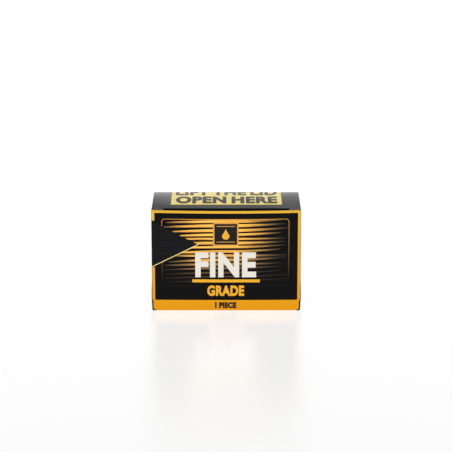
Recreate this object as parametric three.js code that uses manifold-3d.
// A small folding carton with its contents: a foam hand block faced with detailing clay.
// The carton is one die-cut blank of folding boxboard, glued down one corner and closed at both
// ends in the reverse-tuck way: the lid is creased to the back panel and tucks in behind the
// front one, and the bottom is the same closure turned half round about X.
// Units are millimetres. +Z is up, the printed front faces -Y, and the origin is the middle of
// the base.
import * as THREE from "three";
import { mergeVertices } from "three/addons/utils/BufferGeometryUtils.js";
import Module from "manifold-3d";

// Driving dimensions of the carton
const WIDTH = 100;
const DEPTH = 46;
const HEIGHT = 71;
const BOARD = 0.45; // caliper of the boxboard
const CREASE_GAP = 0.3; // room left where two panels of the blank meet at a crease
const BULGE = 2.5; // how far the middle of a free panel edge bows out
const BULGE_POWER = 0.6; // how fast that bow grows away from the creased end
const SWELL = 1.2; // outward swell of a side panel, just above the bottom crease
const SWELL_HEIGHT = 7; // height of the swell's peak over the bottom crease
const LID_RISE = 0.8; // rise of the arched lid

// Closure flaps, the same at both ends
const TUCK_LENGTH = 13;
const TUCK_CORNER = 12; // radius of the tuck flap's two free corners
const TUCK_END_ROOM = 1.5; // from the tuck flap's ends to the outside of the carton
const TUCK_PLAY = 0.6; // from the tuck flap to the panel it slides behind
const TUCK_FOLD_GAP = 0.6; // from the tuck flap to the closing panel that carries it
const SLIT = 8; // length of the slit lock at each end of the fold
const LID_END_ROOM = 0.4; // the closing panel stops this far short of the sides
const DUST_LENGTH = 22;
const DUST_SHOULDER = 7.5; // length of the shoulder that catches in the slit
const DUST_SHOULDER_STEP = 1.1;
const DUST_REAR_ROOM = 1.5; // from the hinge crease to the dust flap's rear edge
const DUST_TAPER = 0.7; // how fast the rear edge runs in, per mm of flap
const DUST_CORNER = 4;

// The glue flap
const GLUE_WIDTH = 13;
const GLUE_TAPER = 4;
const GLUE_END_ROOM = 4;

// The block: foam, a glue film, the clay and its peel-off cover, from the back to the front
const BLOCK_WIDTH = 92;
const BLOCK_HEIGHT = 62;
const BLOCK_CORNER = 5;
const FOAM_THICKNESS = 33;
const FILM_THICKNESS = 0.4;
const CLAY_THICKNESS = 4.5;
const CLAY_INSET = 1; // the clay stops this far inside the foam's outline
const LAYER_GAP = 0.3;
const BLOCK_BACK = 20; // y of the foam's back face

// Worked out from those
const halfWidth = WIDTH / 2;
const halfDepth = DEPTH / 2;
const step = BOARD + CREASE_GAP; // from the outside of one panel to the next panel's edge

const finishes = {
  print: new THREE.MeshStandardMaterial({ color: 0x1b1b1d, roughness: 0.45, metalness: 0 }),
  lidPrint: new THREE.MeshStandardMaterial({ color: 0x2b2b2d, roughness: 0.4, metalness: 0 }),
  foam: new THREE.MeshStandardMaterial({ color: 0x2a2a2c, roughness: 0.95, metalness: 0 }),
  clay: new THREE.MeshStandardMaterial({ color: 0xd98a1c, roughness: 0.6, metalness: 0 }),
  film: new THREE.MeshStandardMaterial({ color: 0xdfe6ea, roughness: 0.2, metalness: 0 }),
};

const wasm = await Module();
wasm.setup();

const carton = new THREE.Group();

// Adds a geometry to a group as a named mesh.
function add(name, geometry, finish, group = carton) {
  const mesh = new THREE.Mesh(geometry, finishes[finish]);
  mesh.name = name;
  group.add(mesh);
  return mesh;
}

// A sheet as a box of many cells between two corners, each of its points moved by bend(point).
function bentSheet(low, high, cells, bend) {
  const size = new THREE.Vector3().subVectors(high, low);
  const centre = new THREE.Vector3().addVectors(low, high).multiplyScalar(0.5);
  const geometry = new THREE.BoxGeometry(size.x, size.y, size.z, ...cells);
  geometry.translate(centre.x, centre.y, centre.z);
  const places = geometry.getAttribute("position");
  const point = new THREE.Vector3();
  for (let i = 0; i < places.count; i++) {
    point.fromBufferAttribute(places, i);
    bend(point);
    places.setXYZ(i, point.x, point.y, point.z);
  }
  return geometry;
}

// A flat outline made into a slab. It lies in XY and grows towards +Z.
function slab(outline, thickness) {
  return new THREE.ExtrudeGeometry(outline, {
    depth: thickness,
    bevelEnabled: false,
    curveSegments: 6,
  });
}

// The same slab stood up in XZ, with its front face at y.
function standingSlab(outline, thickness, y) {
  return slab(outline, thickness)
    .rotateX(Math.PI / 2)
    .translate(0, y + thickness, 0);
}

function roundedRectangle(width, height, radius, bottom) {
  const x = width / 2 - radius;
  const low = bottom + radius;
  const high = bottom + height - radius;
  const outline = new THREE.Shape();
  outline.absarc(x, high, radius, 0, Math.PI / 2);
  outline.absarc(-x, high, radius, Math.PI / 2, Math.PI);
  outline.absarc(-x, low, radius, Math.PI, 1.5 * Math.PI);
  outline.absarc(x, low, radius, 1.5 * Math.PI, 2 * Math.PI);
  outline.closePath();
  return outline;
}

function toSolid(geometry) {
  const bare = new THREE.BufferGeometry();
  bare.setAttribute("position", geometry.getAttribute("position"));
  if (geometry.index) bare.setIndex(geometry.index);
  const merged = mergeVertices(bare, 1e-4);
  return new wasm.Manifold(
    new wasm.Mesh({
      numProp: 3,
      vertProperties: merged.attributes.position.array,
      triVerts: new Uint32Array(merged.index.array),
    }),
  );
}

function toGeometry(solid) {
  const mesh = solid.getMesh();
  const geometry = new THREE.BufferGeometry();
  geometry.setAttribute("position", new THREE.BufferAttribute(mesh.vertProperties, 3));
  geometry.setIndex(new THREE.BufferAttribute(mesh.triVerts, 1));
  geometry.computeVertexNormals();
  return geometry;
}

// How far the front panel bows out. The crease along its foot holds it straight there, and the
// free top edge bows most.
function frontBulge(x, z) {
  const across = 1 - (x / halfWidth) ** 2;
  return BULGE * Math.max(across, 0) * Math.max(z / HEIGHT, 0) ** BULGE_POWER;
}

// How far a side panel swells out over the folded dust flaps at the bottom.
function sideSwell(y, z) {
  const rise = Math.max(z, 0) / SWELL_HEIGHT;
  const across = Math.max(1 - (y / halfDepth) ** 2, 0);
  return SWELL * across * rise * Math.exp(1 - rise);
}

// The four walls
function frontPanel() {
  const low = new THREE.Vector3(-halfWidth, -halfDepth, 0);
  const high = new THREE.Vector3(halfWidth, -halfDepth + BOARD, HEIGHT - step);
  return bentSheet(low, high, [16, 1, 8], (p) => {
    p.y -= frontBulge(p.x, p.z);
  });
}

// The back is the front turned half round about X, so its free edge is the bottom one.
function backPanel() {
  const low = new THREE.Vector3(-halfWidth, halfDepth - BOARD, step);
  const high = new THREE.Vector3(halfWidth, halfDepth, HEIGHT);
  return bentSheet(low, high, [16, 1, 8], (p) => {
    p.y += frontBulge(p.x, HEIGHT - p.z);
  });
}

function sidePanel(side) {
  const inner = side * (halfWidth - BOARD);
  const outer = side * halfWidth;
  const low = new THREE.Vector3(Math.min(inner, outer), -halfDepth + step, step);
  const high = new THREE.Vector3(Math.max(inner, outer), halfDepth - step, HEIGHT - step);
  return bentSheet(low, high, [1, 8, 14], (p) => {
    p.x += side * sideSwell(p.y, p.z - step);
  });
}

// The glue flap is creased to the back panel and glued inside the left side.
function glueFlap() {
  const rear = halfDepth - step;
  const front = rear - GLUE_WIDTH;
  const low = GLUE_END_ROOM;
  const high = HEIGHT - GLUE_END_ROOM;
  const outline = new THREE.Shape();
  outline.moveTo(front, low + GLUE_TAPER);
  outline.lineTo(rear, low);
  outline.lineTo(rear, high);
  outline.lineTo(front, high - GLUE_TAPER);
  outline.closePath();
  return slab(outline, BOARD)
    .rotateX(Math.PI / 2)
    .rotateZ(Math.PI / 2)
    .translate(-halfWidth + step, 0, 0);
}

// One end closure as it lies at the top of the carton: the closing panel with its tuck flap,
// and the two dust flaps under it. rise is the arch of the closing panel.
function closingPanel(rise) {
  const rear = halfDepth - step;
  const reach = halfWidth - LID_END_ROOM;
  const low = new THREE.Vector3(-reach, -halfDepth, HEIGHT - BOARD);
  const high = new THREE.Vector3(reach, rear, HEIGHT);
  const sheet = bentSheet(low, high, [1, 12, 1], (p) => {
    const along = (p.y + halfDepth) / (rear + halfDepth);
    p.z += 4 * rise * along * (1 - along);
  });
  // Between the two slits the panel ends at the tuck fold. Outside them it runs on over the
  // top edge of the front panel as a flat shoulder.
  const foldWidth = 2 * (halfWidth - SLIT);
  const setBack = BOARD + TUCK_PLAY;
  const cut = new THREE.BoxGeometry(foldWidth, 2 * setBack, 4 * BOARD);
  cut.translate(0, -halfDepth, HEIGHT - BOARD / 2);
  return toGeometry(toSolid(sheet).subtract(toSolid(cut)));
}

function tuckFlap() {
  const reach = halfWidth - TUCK_END_ROOM;
  const top = HEIGHT - BOARD - TUCK_FOLD_GAP;
  const foot = top - TUCK_LENGTH;
  const outline = new THREE.Shape();
  outline.moveTo(reach, top);
  outline.lineTo(-reach, top);
  outline.absarc(-reach + TUCK_CORNER, foot + TUCK_CORNER, TUCK_CORNER, Math.PI, 1.5 * Math.PI);
  outline.absarc(reach - TUCK_CORNER, foot + TUCK_CORNER, TUCK_CORNER, 1.5 * Math.PI, 2 * Math.PI);
  outline.closePath();
  return standingSlab(outline, BOARD, -halfDepth + BOARD + TUCK_PLAY);
}

// side is -1 for the left flap and 1 for the right one.
function dustFlap(side) {
  const root = halfWidth - step;
  const tip = root - DUST_LENGTH;
  const shoulderEnd = root - DUST_SHOULDER;
  const shoulder = -halfDepth + 2 * (BOARD + TUCK_PLAY);
  const front = shoulder + DUST_SHOULDER_STEP;
  const rear = halfDepth - DUST_REAR_ROOM;
  const rearTip = rear - DUST_TAPER * DUST_LENGTH;
  const outline = new THREE.Shape();
  outline.moveTo(root, shoulder);
  outline.lineTo(root, rear);
  outline.lineTo(tip, rearTip);
  outline.lineTo(tip, front + DUST_CORNER);
  outline.absarc(tip + DUST_CORNER, front + DUST_CORNER, DUST_CORNER, Math.PI, 1.5 * Math.PI);
  outline.lineTo(shoulderEnd, front);
  outline.lineTo(shoulderEnd, shoulder);
  outline.closePath();
  const geometry = slab(outline, BOARD).translate(0, 0, HEIGHT - step - BOARD);
  // The left flap is the right one turned over about Y, which keeps its faces pointing out.
  if (side < 0) geometry.translate(0, 0, BOARD / 2 + step - HEIGHT).rotateY(Math.PI)
    .translate(0, 0, HEIGHT - step - BOARD / 2);
  return geometry;
}

// Adds one closure: end is "top" or "bottom", panel is the closing panel's name.
function addClosure(end, panel, rise, group) {
  add(panel, closingPanel(rise), "lidPrint", group);
  add(`${end}_tuck_flap`, tuckFlap(), "print", group);
  add(`${end}_dust_flap_left`, dustFlap(-1), "print", group);
  add(`${end}_dust_flap_right`, dustFlap(1), "print", group);
}

// The hand block, layer by layer from its back face forwards
function addBlock() {
  const floor = 2 * step;
  const foamOutline = roundedRectangle(BLOCK_WIDTH, BLOCK_HEIGHT, BLOCK_CORNER, floor);
  const faceOutline = roundedRectangle(
    BLOCK_WIDTH - 2 * CLAY_INSET,
    BLOCK_HEIGHT - 2 * CLAY_INSET,
    BLOCK_CORNER - CLAY_INSET,
    floor + CLAY_INSET,
  );
  const layers = [
    ["foam_block", foamOutline, FOAM_THICKNESS, "foam"],
    ["glue_film", faceOutline, FILM_THICKNESS, "film"],
    ["clay_pad", faceOutline, CLAY_THICKNESS, "clay"],
    ["cover_film", faceOutline, FILM_THICKNESS, "film"],
  ];
  let back = BLOCK_BACK;
  for (const [name, outline, thickness, finish] of layers) {
    add(name, standingSlab(outline, thickness, back - thickness), finish);
    back -= thickness + LAYER_GAP;
  }
}

add("front_panel", frontPanel(), "print");
add("back_panel", backPanel(), "print");
add("left_side_panel", sidePanel(-1), "print");
add("right_side_panel", sidePanel(1), "print");
add("glue_flap", glueFlap(), "print");
addClosure("top", "lid_panel", LID_RISE, carton);
const bottom = new THREE.Group();
bottom.rotation.x = Math.PI;
bottom.position.z = HEIGHT;
addClosure("bottom", "bottom_panel", 0, bottom);
carton.add(bottom);
addBlock();

export default carton;
